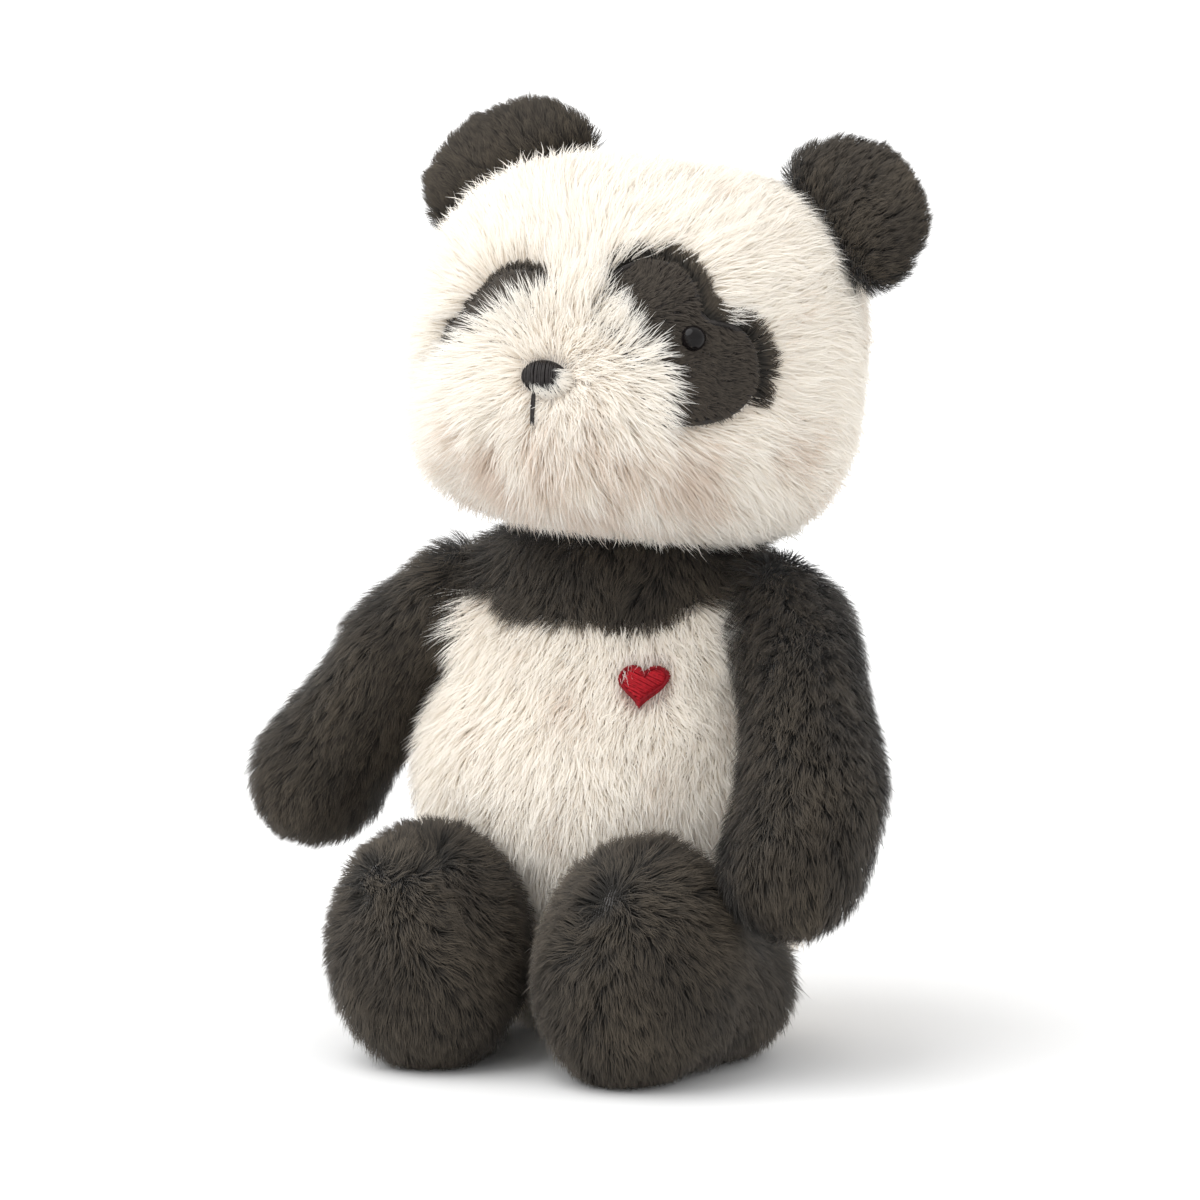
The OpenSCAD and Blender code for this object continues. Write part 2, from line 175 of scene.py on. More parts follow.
def add_bump(tree, shader, height, distance, strength=1.0):
    bump = tree.nodes.new("ShaderNodeBump")
    bump.inputs["Strength"].default_value = strength
    bump.inputs["Distance"].default_value = distance
    tree.links.new(height, bump.inputs["Height"])
    tree.links.new(bump.outputs["Normal"], shader.inputs["Normal"])


def mix_node(tree, kind, factor, a, b):
    """A colour mix of a socket a with a socket or colour b."""
    node = tree.nodes.new("ShaderNodeMix")
    node.data_type = "RGBA"
    node.blend_type = kind
    for socket, value in ((node.inputs[0], factor), (node.inputs[6], a), (node.inputs[7], b)):
        if isinstance(value, bpy.types.NodeSocket):
            tree.links.new(value, socket)
        else:
            socket.default_value = value
    return node.outputs[2]


def pile_material(name, colours, tones, sheen, glow=0.0):
    """Pile whose strands carry u, their own tone, and v, the way from root to tip. Light passes by glow."""
    root, middle, tip = colours
    low, high = tones
    material, tree, shader = new_material(name, 0.72, sheen, 0.28)
    uv = tree.nodes.new("ShaderNodeUVMap")
    uv.uv_map = "OFBake"
    axes = tree.nodes.new("ShaderNodeSeparateXYZ")
    tree.links.new(uv.outputs["UV"], axes.inputs[0])
    along = ramp_node(tree, ((0, root), (1, tip), (0.42, middle)), axes.outputs["Y"])
    tone = ramp_node(tree, ((0, low), (1, high), (0.32, (1, 1, 1))), axes.outputs["X"])
    colour = mix_node(tree, "MULTIPLY", 1.0, along, tone)
    flecks = noise_node(tree, 34, 3, source=uv.outputs["UV"])
    fleck_tone = ramp_node(tree, ((0.3, FLECK_LOW), (0.7, FLECK_HIGH)), flecks)
    colour = mix_node(tree, "MULTIPLY", 1.0, colour, fleck_tone)
    tree.links.new(colour, shader.inputs["Base Color"])
    if glow:
        through = tree.nodes.new("ShaderNodeBsdfTranslucent")
        tree.links.new(colour, through.inputs["Color"])
        both = tree.nodes.new("ShaderNodeMixShader")
        both.inputs["Fac"].default_value = glow
        tree.links.new(shader.outputs["BSDF"], both.inputs[1])
        tree.links.new(through.outputs["BSDF"], both.inputs[2])
        tree.links.new(both.outputs["Shader"], tree.nodes["Material Output"].inputs["Surface"])
    return material


def knit_material(name, colour):
    """The knitted backing cloth under the pile, with its rows of loops."""
    material, tree, shader = new_material(name, 0.9, 0.3, 0.2)
    place = tree.nodes.new("ShaderNodeTexCoord")
    rows = tree.nodes.new("ShaderNodeTexWave")
    rows.inputs["Scale"].default_value = 420
    rows.inputs["Distortion"].default_value = 3
    tree.links.new(place.outputs["Object"], rows.inputs["Vector"])
    dark = tuple(c * 0.6 for c in colour)
    tones = ramp_node(tree, ((0, dark), (1, colour)), rows.outputs["Fac"])
    tree.links.new(tones, shader.inputs["Base Color"])
    add_bump(tree, shader, rows.outputs["Fac"], 0.4 * MM)
    return material


def thread_material(name, dark, light, roughness=0.42, sheen=0.25):
    """Embroidery thread: a soft gloss, with fine uneven tone along and across the stitches."""
    material, tree, shader = new_material(name, roughness, sheen, 0.25)
    noise = noise_node(tree, 900, 4)
    tree.links.new(ramp_node(tree, ((0.3, dark), (0.7, light)), noise), shader.inputs["Base Color"])
    add_bump(tree, shader, noise, 0.12 * MM, 0.5)
    return material


def moulded_material(name, colour, roughness):
    """Moulded plastic with faint flow marks in its tone and gloss."""
    material, tree, shader = new_material(name, roughness, 0.0, 0.18)
    noise = noise_node(tree, 240)
    light = tuple(min(1, c * 1.5 + 0.004) for c in colour)
    tree.links.new(ramp_node(tree, ((0.35, colour), (0.75, light)), noise), shader.inputs["Base Color"])
    gloss = tree.nodes.new("ShaderNodeMapRange")
    gloss.inputs["To Min"].default_value = roughness * 0.8
    gloss.inputs["To Max"].default_value = roughness * 1.4
    tree.links.new(noise, gloss.inputs["Value"])
    tree.links.new(gloss.outputs["Result"], shader.inputs["Roughness"])
    return material


def fibre_material():
    """Loose polyester filling."""
    material, tree, shader = new_material("fibre_filling", 0.95, 0.5, 0.1)
    noise = noise_node(tree, 260, 8, 2.5)
    tones = ((0.3, (0.72, 0.72, 0.70)), (0.7, (0.93, 0.93, 0.91)))
    tree.links.new(ramp_node(tree, tones, noise), shader.inputs["Base Color"])
    add_bump(tree, shader, noise, 1.5 * MM)
    return material


cream_pile = pile_material("cream_pile", (CREAM_ROOT, CREAM_MIDDLE, CREAM_TIP),
                           ((0.84, 0.77, 0.72), (1.02, 1.02, 1.02)), 0.3, CREAM_GLOW)
dark_pile = pile_material("dark_pile", (DARK_ROOT, DARK_MIDDLE, DARK_TIP),
                          ((0.5, 0.5, 0.5), (2.1, 2.1, 2.0)), 0.12)
patch_pile = pile_material("patch_pile", (PATCH_ROOT, PATCH_MIDDLE, PATCH_TIP),
                           ((0.7, 0.7, 0.7), (1.5, 1.5, 1.5)), 0.12)
cream_knit = knit_material("cream_knit", (0.90, 0.83, 0.75))
dark_knit = knit_material("dark_knit", (0.022, 0.017, 0.014))
edge_thread = thread_material("patch_edge_thread", (0.008, 0.006, 0.006), (0.030, 0.025, 0.022), 0.5)
nose_thread = thread_material("nose_thread", (0.010, 0.008, 0.008), (0.030, 0.026, 0.025), 0.5, 0.0)
heart_thread = thread_material("heart_thread", (0.26, 0.002, 0.008), (0.42, 0.005, 0.014), 0.62, 0.0)
heart_edge_thread = thread_material("heart_edge_thread", (0.15, 0.001, 0.005), (0.26, 0.003, 0.010),
                                    0.62, 0.0)
eye_plastic = moulded_material("eye_plastic", (0.004, 0.003, 0.003), 0.10)
washer_plastic = moulded_material("washer_plastic", (0.70, 0.70, 0.66), 0.45)
filling = fibre_material()


# ---- Small helpers ----

def smooth_step(x, low, high):
    t = np.clip((x - low) / (high - low), 0, 1)
    return t * t * (3 - 2 * t)


def unit_rows(v):
    return v / np.maximum(np.linalg.norm(v, axis=-1, keepdims=True), 1e-9)


def along_surface(direction, normals):
    """The part of each direction that lies in the surface, as a unit row."""
    flat = direction - normals * np.sum(direction * normals, axis=1, keepdims=True)
    return unit_rows(flat)


# Directions, wavelengths and phases of the waves that make the pile lie unevenly.
WAVES = rng.normal(size=(3, 6, 3))
PHASES = rng.uniform(0, 2 * math.pi, size=(3, 6))


def sway(points, wavelength):
    """A smooth random vector at each point, about 1 long."""
    k = unit_rows(WAVES) * (2 * math.pi / wavelength) * (0.6 + 0.8 * np.linspace(0, 1, 6))[None, :, None]
    return np.stack([np.sin(points @ k[i].T + PHASES[i]).mean(axis=1) for i in range(3)], axis=1) * 1.7


def new_object(name, data, material=None):
    obj = bpy.data.objects.new(name, data)
    bpy.context.scene.collection.objects.link(obj)
    if material is not None:
        data.materials.append(material)
    return obj


def shade_smooth(mesh):
    mesh.polygons.foreach_set("use_smooth", [True] * len(mesh.polygons))


def fasten(body, slot, *pieces):
    """Pieces that ride on a body. slot is not used."""
    for piece in pieces:
        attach(piece, body)


def refinish(node, material):
    """A CAD node that stays as it is, in its own material."""
    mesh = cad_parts[node].data
    mesh.materials.clear()
    mesh.materials.append(material)


def applied(obj):
    """Leaves obj as a plain mesh, with what its modifiers make of it."""
    graph = bpy.context.evaluated_depsgraph_get()
    mesh = bpy.data.meshes.new_from_object(obj.evaluated_get(graph))
    obj.modifiers.clear()
    obj.data = mesh


def coordinates(mesh):
    out = np.empty(len(mesh.vertices) * 3)
    mesh.vertices.foreach_get("co", out)
    return out.reshape(-1, 3)


def inside_outline(points, outline):
    """Which 2-D points lie inside a closed outline."""
    x, y = points[:, 0], points[:, 1]
    inside = np.zeros(len(points), bool)
    for (x0, y0), (x1, y1) in zip(outline, np.roll(outline, -1, axis=0)):
        crosses = (y0 > y) != (y1 > y)
        inside ^= crosses & (x < (x1 - x0) * (y - y0) / (y1 - y0 + 1e-12) + x0)
    return inside


# ---- Stuffed forms: the sewn skins, plumped by cloth ----

def largest_island(mesh):
    """Drops every loose shell of a mesh but its largest."""
    bm = bmesh.new()
    bm.from_mesh(mesh)
    left = set(bm.verts)
    islands = []
    while left:
        stack = [left.pop()]
        island = set(stack)
        while stack:
            for edge in stack.pop().link_edges:
                for vert in edge.verts:
                    if vert in left:
                        left.remove(vert)
                        island.add(vert)
                        stack.append(vert)
        islands.append(island)
    keep = max(islands, key=len)
    bmesh.ops.delete(bm, geom=[v for v in bm.verts if v not in keep], context="VERTS")
    bm.to_mesh(mesh)
    bm.free()


def rough_form(name, nodes, voxel):
    """One closed mesh round the CAD solids of a body."""
    bm = bmesh.new()
    for node in nodes:
        bm.from_mesh(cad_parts[node].data)
    mesh = bpy.data.meshes.new(name)
    bm.to_mesh(mesh)
    bm.free()
    obj = new_object(name, mesh)
    remesh = obj.modifiers.new("remesh", "REMESH")
    remesh.mode = "VOXEL"
    remesh.voxel_size = voxel
    smooth = obj.modifiers.new("smooth", "SMOOTH")
    smooth.factor = 0.5
    smooth.iterations = 4
    applied(obj)
    largest_island(obj.data)
    return obj


def plump(forms, cap, frames=20):
    """Blows the forms up a little as cloth, then evens and subdivides them."""
    starts = [coordinates(obj.data) for obj in forms]
    for obj in forms:
        cloth = obj.modifiers.new("cloth", "CLOTH")
        cloth.settings.use_pressure = True
        cloth.settings.uniform_pressure_force = 4
        cloth.settings.effector_weights.gravity = 0
        cloth.settings.quality = 4
        cloth.point_cache.frame_end = frames
    for step in range(1, frames + 1):
        bpy.context.scene.frame_set(step)
    for obj in forms:
        applied(obj)
    bpy.context.scene.frame_set(1)
    for obj, start in zip(forms, starts):
        moved = coordinates(obj.data) - start
        far = np.maximum(np.linalg.norm(moved, axis=1, keepdims=True), 1e-9)
        placed = start + moved * np.minimum(1, cap / far)
        placed[:, 2] = np.maximum(placed[:, 2], FLOOR_GAP)
        obj.data.vertices.foreach_set("co", placed.ravel())
        smooth = obj.modifiers.new("smooth", "SMOOTH")
        smooth.iterations = 2
        finer = obj.modifiers.new("finer", "SUBSURF")
        finer.levels = 1
        applied(obj)
        shade_smooth(obj.data)


class Skin:
    """A skin's triangles, as arrays, with the CAD panel that each belongs to."""

    def __init__(self, obj, panels):
        mesh = obj.data
        mesh.calc_loop_triangles()
        self.obj = obj
        self.points = coordinates(mesh)
        self.normals = np.array([v.normal[:] for v in mesh.vertices])
        self.triangles = np.array([t.vertices[:] for t in mesh.loop_triangles])
        corners = self.points[self.triangles]
        cross = np.cross(corners[:, 1] - corners[:, 0], corners[:, 2] - corners[:, 0])
        self.areas = np.linalg.norm(cross, axis=1) / 2
        self.middles = corners.mean(axis=1)
        self.tree = BVHTree.FromPolygons([Vector(p) for p in self.points], self.triangles.tolist())
        self.panels = panels
        self.owner = self.nearest_panel()

    def nearest_panel(self):
        points = [(v.co, i) for i, p in enumerate(self.panels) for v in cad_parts[p].data.vertices]
        tree = KDTree(len(points))
        for n, (co, _) in enumerate(points):
            tree.insert(co, n)
        tree.balance()
        return np.array([points[tree.find(m)[1]][1] for m in self.middles])

    def roots(self, chosen, count, keep=None):
        """Random points and normals on the chosen triangles, spread by area."""
        weight = np.where(chosen, self.areas, 0)
        pick = rng.choice(len(weight), size=count, p=weight / weight.sum())
        a, b = rng.random((2, count))
        flip = a + b > 1
        a, b = np.where(flip, 1 - a, a), np.where(flip, 1 - b, b)
        share = np.stack([1 - a - b, a, b], axis=1)[:, :, None]
        points = (self.points[self.triangles[pick]] * share).sum(axis=1)
        normals = unit_rows((self.normals[self.triangles[pick]] * share).sum(axis=1))
        if keep is not None:
            good = keep(points)
            points, normals = points[good], normals[good]
        return points, normals


# ---- Pile ----

STRIP = ((0, 1, 3, 2), (2, 3, 5, 4), (4, 5, 6))
LEVEL_OF = np.array([0, 0, 1, 1, 2, 2, 3])
LEVELS = np.linspace(0, 1, 4)
TAPER = np.array([0.9, 1.0, 0.7, 0])


def strand_curves(points, normals, comb, length, lean, bend, wave, clump):
    """Points along each strand: it leans from the skin, bends over, waves and gathers in locks."""
    count = len(points)
    turn = rng.normal(0, 0.22, count)[:, None]
    side = np.cross(normals, comb)
    comb = unit_rows(comb + side * turn)
    angle = np.radians(lean + rng.normal(0, 9, count))[:, None] + np.radians(bend) * LEVELS[None, :]
    angle = np.minimum(angle, math.radians(94))
    steps = np.sin(angle)[:, :, None] * comb[:, None] + np.cos(angle)[:, :, None] * normals[:, None]
    steps = steps[:, :-1] * (length / (len(LEVELS) - 1))[:, None, None]
    curve = np.concatenate([points[:, None], points[:, None] + np.cumsum(steps, axis=1)], axis=1)
    phase = rng.uniform(0, 2 * math.pi, count)[:, None]
    side = unit_rows(np.cross(normals, comb))
    shift = np.sin(phase + LEVELS[None, :] * 4.6) * LEVELS[None, :] * wave
    curve += side[:, None] * shift[:, :, None]
    for share, pull in clump:
        guides = rng.choice(count, size=max(4, int(count * share)), replace=False)
        tree = KDTree(len(guides))
        for n, guide in enumerate(guides):
            tree.insert(points[guide], n)
        tree.balance()
        nearest = guides[np.array([tree.find(p)[1] for p in points])]
        amount = (pull * LEVELS ** 1.3)[None, :, None]
        curve = curve * (1 - amount) + curve[nearest] * amount
    curve[:, :, 2] = np.maximum(curve[:, :, 2], FLOOR_GAP)
    return curve


def pile_mesh(name, curve, normals, width, tone, material, lift):
    """Flat tapering strands along curves, as one mesh. lift turns the shading towards the skin's own."""
    count = len(curve)
    tangent = unit_rows(np.gradient(curve, axis=1))
    outward = np.repeat(normals[:, None], len(LEVELS), axis=1)
    side = unit_rows(np.cross(tangent, outward))
    face = np.cross(side, tangent)
    twist = rng.normal(0, 0.22, count)[:, None, None]
    side = side * np.cos(twist) + face * np.sin(twist)
    half = side * TAPER[None, :, None] * (width / 2)[:, None, None]
    verts = np.stack([curve - half, curve + half], axis=2).reshape(count, -1, 3)[:, :len(LEVEL_OF)]
    verts[:, :, 2] = np.maximum(verts[:, :, 2], FLOOR_GAP)
    shade = unit_rows(outward * lift + face * (1 - lift))[:, LEVEL_OF]
    uv = np.stack(np.broadcast_arrays(tone[:, None], LEVELS[LEVEL_OF][None] * 0.98 + 0.01), axis=2)

    mesh = bpy.data.meshes.new(name)
    mesh.vertices.add(count * len(LEVEL_OF))
    mesh.vertices.foreach_set("co", verts.ravel())
    corners = np.array([i for face_ in STRIP for i in face_])
    loops = (corners[None] + len(LEVEL_OF) * np.arange(count)[:, None]).ravel()
    mesh.loops.add(len(loops))
    mesh.loops.foreach_set("vertex_index", loops)
    starts = np.array([0, 4, 8])[None] + len(corners) * np.arange(count)[:, None]
    mesh.polygons.add(count * len(STRIP))
    mesh.polygons.foreach_set("loop_start", starts.ravel())
    mesh.update(calc_edges=True)
    layer = mesh.uv_layers.new(name="OFBake")
    layer.data.foreach_set("uv", uv.reshape(-1, 2)[loops].ravel())
    shade_smooth(mesh)
    mesh.normals_split_custom_set_from_vertices(shade.reshape(-1, 3).tolist())
    return new_object(name, mesh, material)


def grow(name, points, normals, comb, length, material, body, slot,
         lean=48, bend=40, wave=0.8 * MM, width=0.21 * MM, clump=DARK_LOCKS, lift=0.52, tint=None):
    """One piece of pile, riding on its body. length holds each strand's length."""
    count = len(points)
    length = length * rng.uniform(0.72, 1.12, count)
    if callable(lean):
        lean = lean(points)
    stray = rng.random(count) < STRAY_SHARE
    length = np.where(stray, length * STRAY_LENGTH, length)
    lean = np.where(stray, lean - STRAY_RISE, lean)
    curve = strand_curves(points, normals, comb, length, lean, bend, wave, clump)
    tone = 0.55 + 0.22 * sway(points, 22 * MM)[:, 0] + rng.normal(0, 0.15, count)
    if tint is not None:
        tone = tone - tint(points)
    widths = width * rng.uniform(0.7, 1.2, count)
    piece = pile_mesh(name, curve, normals, widths, np.clip(tone, 0.02, 0.98), material, lift)
    fasten(body, slot, piece)
    return piece


# ---- Stitches ----

def stitches(name, curves, normals, radius, material, sides=6):
    """Short threads as tubes: curves is (threads, points, 3), with a surface normal for each point."""
    curves = np.asarray(curves)
    count, n, _ = curves.shape
    tangent = unit_rows(np.gradient(curves, axis=1))
    side = unit_rows(np.cross(tangent, normals))
    out = np.cross(side, tangent)
    ends = np.sqrt(np.clip(1 - np.abs(np.linspace(-1, 1, n)) ** 6, 0.02, 1))
    around = np.linspace(0, 2 * math.pi, sides, endpoint=False)
    ring = (side[:, :, None] * np.cos(around)[None, None, :, None]
            + out[:, :, None] * np.sin(around)[None, None, :, None])
    verts = curves[:, :, None] + ring * (radius * ends)[None, :, None, None]
    faces = []
    for thread in range(count):
        base = thread * n * sides
        for j in range(n - 1):
            for i in range(sides):
                a, b = base + j * sides + i, base + j * sides + (i + 1) % sides
                faces.append((a, b, b + sides, a + sides))
        faces.append(tuple(base + i for i in reversed(range(sides))))
        faces.append(tuple(base + (n - 1) * sides + i for i in range(sides)))
    mesh = bpy.data.meshes.new(name)
    mesh.from_pydata(verts.reshape(-1, 3).tolist(), [], faces)
    shade_smooth(mesh)
    return new_object(name, mesh, material)


def heart_outline(count):
    """A heart 1 wide, anticlockwise from its notch, with its middle at the origin."""
    t = np.linspace(0, 2 * math.pi, count, endpoint=False)
    x = -16 * np.sin(t) ** 3
    y = 13 * np.cos(t) - 5 * np.cos(2 * t) - 2 * np.cos(3 * t) - np.cos(4 * t) + 2.5
    return np.stack([x, y], axis=1) / 32


def turned(points, angle):
    c, s = math.cos(math.radians(angle)), math.sin(math.radians(angle))
    return points @ np.array([[c, s], [-s, c]])


# ---- Outlines, and laying things on a skin ----

def patch_heart(fill):
    """A patch's heart in its own plane, with its notch filled up to a height."""
    heart = heart_outline(120)
    notch = (np.abs(heart[:, 0]) < 0.24) & (heart[:, 1] > 0)
    heart[notch, 1] = np.maximum(heart[notch, 1], fill)
    return turned(heart, -PATCH_TILT) * PATCH_W


class FaceLay:
    """Lays points given in a flat (x, y) on the skin of the head round a direction from its middle."""

    def __init__(self, skin, aim, mirrored=False):
        self.tree = skin.tree
        flip = Vector((-1 if mirrored else 1, 1, 1))
        local = aim.normalized() * flip
        self.turn = -1 if mirrored else 1
        self.aim = (HEAD_TURNED @ local).normalized()
        side = Vector((0, 0, 1)).cross(local).normalized()
        self.side = (HEAD_TURNED @ side).normalized()
        self.up = self.aim.cross(self.side).normalized()
        self.reach = (self.tree.ray_cast(head_middle, self.aim)[0] - head_middle).length

    def at(self, x, y, lift=0.0):
        """(point, normal) on the skin; x grows to the panda's left, or is mirrored."""
        direction = self.aim * self.reach + self.side * x * self.turn + self.up * y
        place, normal, _, _ = self.tree.ray_cast(head_middle, direction.normalized())
        return place + normal * lift, normal

    def many(self, points, lifts):
        """Arrays of points and normals for rows of (x, y)."""
        pairs = [self.at(x, y, z) for (x, y), z in zip(points, np.broadcast_to(lifts, len(points)))]
        return np.array([p[:] for p, _ in pairs]), np.array([n[:] for _, n in pairs])

    def flat(self, points):
        """(x, y) of points near the skin, as at() takes them, and how far ahead they lie."""
        away = points - np.array(head_middle)
        ahead = away @ np.array(self.aim)
        scale = self.reach / np.maximum(ahead, 1e-4)
        x = away @ np.array(self.side) * scale * self.turn
        y = away @ np.array(self.up) * scale
        return np.stack([x, y], axis=1), ahead


class ChestLay:
    """Lays points given round a middle, as (x, z), on the front of the torso."""

    def __init__(self, skin, middle):
        self.tree = skin.tree
        self.middle = np.array(middle)

    def many(self, points, lifts):
        places, normals = [], []
        for (x, z), lift in zip(np.asarray(points) + self.middle, np.broadcast_to(lifts, len(points))):
            place, normal, _, _ = self.tree.ray_cast(Vector((x, -0.3, z)), Vector((0, 1, 0)))
            places.append((place + normal * lift)[:])
            normals.append(normal[:])
        return np.array(places), np.array(normals)


def padded_patch(name, lay, outline, rings, height, base, material):
    """A crowned pad over an outline: rings of the outline shrink towards its middle."""
    verts, count = [], len(outline)
    for share in rings:
        crown = math.sqrt(max(0, 1 - share ** 4))
        places, _ = lay.many(outline * share, base + height * crown)
        verts.extend(places.tolist())
    skirt, _ = lay.many(outline, -0.6 * MM)
    verts = skirt.tolist() + verts
    faces = []
    for j in range(len(rings)):
        for i in range(count):
            a, b = j * count + i, j * count + (i + 1) % count
            faces.append((a, b, b + count, a + count))
    faces.append(tuple(len(rings) * count + i for i in range(count)))
    mesh = bpy.data.meshes.new(name)
    mesh.from_pydata(verts, [], faces)
    shade_smooth(mesh)
    return new_object(name, mesh, material)


def edge_stitches(name, lay, outline, length, spacing, lift, radius, material, keep=None):
    """Satin stitches across an outline, where keep says so."""
    ahead = np.roll(outline, -1, axis=0) - outline
    sizes = np.linalg.norm(ahead, axis=1)
    walk = np.concatenate([[0], np.cumsum(sizes)])
    places = np.arange(0, walk[-1], spacing)
    index = np.searchsorted(walk, places, side="right") - 1
    share = ((places - walk[index]) / sizes[index])[:, None]
    middle = outline[index] + ahead[index] * share
    normal2d = unit_rows(np.stack([ahead[index][:, 1], -ahead[index][:, 0]], axis=1))
    slant = unit_rows(ahead[index]) * 0.25
    across = unit_rows(normal2d + slant)
    reach = np.linspace(-0.5, 0.5, 5)
    crown = lift + np.array([-0.7, -0.1, 0, -0.1, -0.7]) * MM * 0.8
    sizes = length * rng.uniform(0.85, 1.12, len(places))
    rows = middle[:, None] + across[:, None] * (reach[None, :] * sizes[:, None])[:, :, None]
    if keep is not None:
        rows = rows[keep(middle)]
    places = places[:len(rows)]
    points, normals = lay.many(rows.reshape(-1, 2), np.tile(crown, len(places)))
    shape = (len(places), 5, 3)
    return stitches(name, points.reshape(shape), normals.reshape(shape), radius, material)


def satin_fill(name, lay, outline, angle, spacing, low, high, radius, material, shift=(0, 0)):
    """Parallel satin stitches that fill an outline, higher in the middle of the shape."""
    flat = turned(outline, -angle)
    top = np.abs(flat).max()
    curves, lifts = [], []
    for x in np.arange(flat[:, 0].min() + spacing / 2, flat[:, 0].max(), spacing):
        nxt = np.roll(flat, -1, axis=0)
        hit = (flat[:, 0] - x) * (nxt[:, 0] - x) < 0
        a, b = flat[hit], nxt[hit]
        ys = np.sort(a[:, 1] + (b[:, 1] - a[:, 1]) * (x - a[:, 0]) / (b[:, 0] - a[:, 0]))
        for y0, y1 in zip(ys[::2], ys[1::2]):
            if y1 - y0 < 2 * radius:
                continue
            y = np.linspace(y0, y1, 7)
            jitter = rng.normal(0, radius * 0.25)
            curves.append(np.stack([np.full(7, x + jitter), y], axis=1))
            bulge = 1 - (np.abs(x) / top) ** 2
            lifts.append(low + (high - low) * bulge * np.sin(np.linspace(0.12, math.pi - 0.12, 7)) ** 0.6)
    rows = turned(np.concatenate(curves), angle) + np.array(shift)
    points, normals = lay.many(rows, np.concatenate(lifts))
    shape = (len(curves), 7, 3)
    return stitches(name, points.reshape(shape), normals.reshape(shape), radius, material)


# ---- Build the skins ----

def limb_nodes(kind, side):
    return [f"{kind}_outer_{side}", f"{kind}_inner_{side}"]


FORMS = {
    "torso": (["belly_panel", "back_panel", "yoke_front_panel", "yoke_back_panel"],
              ["base_panel", "torso_stuffing", "pellet_pouch"], 4.4 * MM),
    "head": (["face_left_panel", "face_right_panel", "head_back_left_panel", "head_back_right_panel"],
             ["head_stuffing"], 4.4 * MM),
}
for side in SIDES:
    FORMS[f"ear_{side}"] = ([f"ear_front_{side}", f"ear_back_{side}"], [f"ear_stuffing_{side}"], 2.4 * MM)
    FORMS[f"arm_{side}"] = (limb_nodes("arm", side), [f"arm_stuffing_{side}", f"shoulder_stuffing_{side}"],
                            3.8 * MM)
    FORMS[f"leg_{side}"] = (limb_nodes("leg", side), [f"leg_stuffing_{side}"], 3.8 * MM)

forms = {body: rough_form(f"{body}_skin", panels + inner, voxel)
         for body, (panels, inner, voxel) in FORMS.items()}
plump(list(forms.values()), cap=1.4 * MM)


def widened_torso(points):
    """A fuller seat at the back, and shoulders that reach the arms."""
    low_share = 1 - smooth_step(points[:, 2], 24 * MM, 78 * MM)
    rear_share = smooth_step(points[:, 1], -18 * MM, 14 * MM)
    points[:, 0] *= 1 + SEAT_SPREAD * low_share * rear_share
    points[:, 1] += SEAT_DEPTH * low_share * rear_share
    points[:, 0] *= 1 + SHOULDER_SPREAD * smooth_step(points[:, 2], 98 * MM, 120 * MM)
    return points


def sloped_arm(points):
    """An arm that slopes down from the yoke, and is slimmer at the top."""
    outer = smooth_step(np.abs(points[:, 0]), 44 * MM, 64 * MM)
    points[:, 2] -= SLOPE * np.maximum(points[:, 2] - SLOPE_START, 0) * outer
    high = smooth_step(points[:, 2], 72 * MM, 108 * MM)
    past = np.maximum(np.abs(points[:, 0]) - 58 * MM, 0)
    points[:, 0] -= np.sign(points[:, 0]) * past * high * NARROWING
    return points


def sunk_ear(points):
    """An ear sewn a little deeper into the head."""
    outward = Vector(points.mean(axis=0)) - head_middle
    return points - np.array(outward.normalized()) * EAR_SINK


def reshape(body, change):
    mesh = forms[body].data
    mesh.vertices.foreach_set("co", change(coordinates(mesh)).ravel())
    mesh.update()


reshape("torso", widened_torso)
for side in SIDES:
    reshape(f"arm_{side}", sloped_arm)
    reshape(f"ear_{side}", sunk_ear)
skins = {body: Skin(forms[body], FORMS[body][0]) for body in FORMS}

for body, skin in skins.items():
    inner = [n for n in FORMS[body][1] if n != "pellet_pouch"]
    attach(skin.obj, body)
    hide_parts(*inner)
    dark = body not in ("torso", "head")
    skin.obj.data.materials.append(dark_knit if dark else cream_knit)

yoke_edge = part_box("belly_panel")[1][2]


def in_yoke(points):
    """The yoke's edge dips at the front and rises over the shoulders."""
    return points[:, 2] > yoke_edge + YOKE_RISE * smooth_step(np.abs(points[:, 0]), 18 * MM, 40 * MM)


# The torso's backing cloth is dark above the yoke's edge.
torso_skin = skins["torso"]
torso_skin.obj.data.materials.append(dark_knit)
centres = np.array([p.center[:] for p in torso_skin.obj.data.polygons])
torso_skin.obj.data.polygons.foreach_set("material_index", in_yoke(centres).astype(np.int32))


# ---- Pile of the head ----

nose_lay = FaceLay(skins["head"], NOSE_AIM)
mouth_lay = FaceLay(skins["head"], MOUTH_AIM)
patch_lays = {
    "left": FaceLay(skins["head"], PATCH_AIM + NEAR_PATCH_DRIFT),
    "right": FaceLay(skins["head"], PATCH_AIM + FAR_PATCH_DRIFT, True),
}
patch_outlines = {
    "left": patch_heart(NEAR_NOTCH_FILL) * NEAR_PATCH_SHARE,
    "right": patch_heart(FAR_NOTCH_FILL),
}
nose_outline = np.stack([np.cos(a := np.linspace(0, 2 * math.pi, 40, endpoint=False)) * NOSE_W / 2,
                         np.sin(a) * NOSE_H / 2], axis=1)
nose_at = np.array(nose_lay.at(0, 0)[0])

# The muzzle's long pile grows over the inner lower flank of each patch, beyond this line in its plane.
FLANKS = {
    "left": (((-0.71, -0.70), 1.4 * MM), ((-1.0, -0.07), 1.0 * MM)),
    "right": (((-0.63, -0.78), -8 * MM),),
}
FLANK_OVERLAP = 4 * MM


